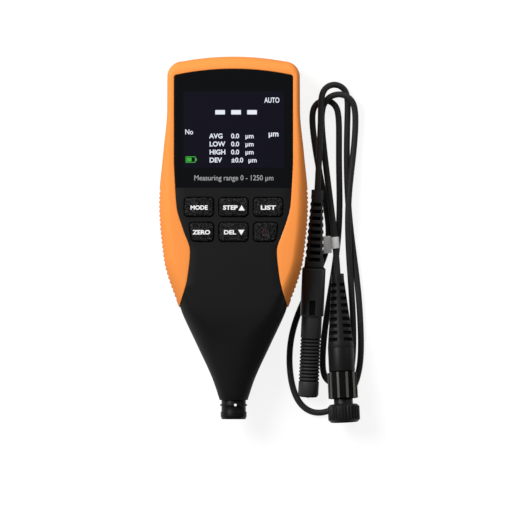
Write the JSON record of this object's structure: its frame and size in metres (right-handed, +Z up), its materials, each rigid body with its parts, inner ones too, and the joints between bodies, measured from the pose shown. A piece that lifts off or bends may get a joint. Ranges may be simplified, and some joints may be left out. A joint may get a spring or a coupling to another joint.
{
  "type": "coating thickness gauge",
  "caption": "Handheld coating thickness gauge with a display, rubber keys, a grip band and a sprung probe in its tapered nose, with a separate pen probe on a looped lead.",
  "frame": {"origin": "middle of the gauge's bounding box, on the surface that its back lies on", "axes": "+X to the right of the face, +Y from the nose towards the display end, +Z up out of the face"},
  "size_m": [0.0921, 0.1647, 0.0302],
  "materials": {
    "case_black": "satin",
    "grip_orange": "satin",
    "window_black": "gloss",
    "display_dark": "gloss",
    "board_green": "satin",
    "steel": "satin",
    "mat_grey": "matte",
    "key_black": "matte",
    "cell_wrap": "gloss",
    "bush_brass": "satin",
    "sleeve_black": "satin",
    "probe_steel": "satin",
    "ribbon_amber": "satin",
    "cord_black": "satin",
    "tag_white": "matte",
    "relief_black": "satin",
    "lead_black": "satin",
    "ring_black": "satin"
  },
  "bodies": {
    "gauge": {"front_case": "case_black", "rear_case": "case_black", "grip_band": "grip_orange", "display_window": "window_black", "display_module": "display_dark", "circuit_board": "board_green", "board_screws": "steel", "keypad_mat": "mat_grey", "switch_domes": "steel", "battery_cell_left": "cell_wrap", "battery_cell_right": "cell_wrap", "battery_contacts": "steel", "battery_door": "case_black", "battery_door_screw": "steel", "case_screws": "steel", "nose_bush": "bush_brass", "probe_core": "probe_steel", "probe_spring": "steel", "probe_ribbon": "ribbon_amber", "lead_cord": "cord_black", "lead_tag": "tag_white", "lead_probe_relief": "relief_black", "lead_probe_body": "lead_black", "lead_probe_grip": "lead_black", "lead_probe_tip": "probe_steel", "lead_plug_relief": "relief_black", "lead_plug_body": "lead_black", "lead_plug_shell": "lead_black", "lead_plug_core": "lead_black"},
    "key_upper_left": {"key_upper_left": "key_black"},
    "key_upper_middle": {"key_upper_middle": "key_black"},
    "key_upper_right": {"key_upper_right": "key_black"},
    "key_lower_left": {"key_lower_left": "key_black"},
    "key_lower_middle": {"key_lower_middle": "key_black"},
    "key_lower_right": {"key_lower_right": "key_black"},
    "nose_probe": {"probe_sleeve": "sleeve_black"},
    "plug_ring": {"lead_plug_ring": "ring_black"}
  },
  "joints": [
    {"name": "key_upper_left_press", "type": "slide", "parent": "gauge", "child": "key_upper_left", "axis": [0, 0, -1], "range_m": [0, 0.0007], "stiffness_N_per_m": 1500, "springref_m": -0.0003},
    {"name": "key_upper_middle_press", "type": "slide", "parent": "gauge", "child": "key_upper_middle", "axis": [0, 0, -1], "range_m": [0, 0.0007], "stiffness_N_per_m": 1500, "springref_m": -0.0003},
    {"name": "key_upper_right_press", "type": "slide", "parent": "gauge", "child": "key_upper_right", "axis": [0, 0, -1], "range_m": [0, 0.0007], "stiffness_N_per_m": 1500, "springref_m": -0.0003},
    {"name": "key_lower_left_press", "type": "slide", "parent": "gauge", "child": "key_lower_left", "axis": [0, 0, -1], "range_m": [0, 0.0007], "stiffness_N_per_m": 1500, "springref_m": -0.0003},
    {"name": "key_lower_middle_press", "type": "slide", "parent": "gauge", "child": "key_lower_middle", "axis": [0, 0, -1], "range_m": [0, 0.0007], "stiffness_N_per_m": 1500, "springref_m": -0.0003},
    {"name": "key_lower_right_press", "type": "slide", "parent": "gauge", "child": "key_lower_right", "axis": [0, 0, -1], "range_m": [0, 0.0007], "stiffness_N_per_m": 1500, "springref_m": -0.0003},
    {"name": "nose_probe_slide", "type": "slide", "parent": "gauge", "child": "nose_probe", "axis": [0, 1, 0], "range_m": [0, 0.0015], "stiffness_N_per_m": 900, "springref_m": -0.0006, "deforming": ["probe_spring"]},
    {"name": "plug_ring_turn", "type": "hinge", "parent": "gauge", "child": "plug_ring", "pos_m": [0.04965, -0.07897, 0.0107], "axis": [0.0452, -0.9964, 0.0715], "continuous": true}
  ]
}
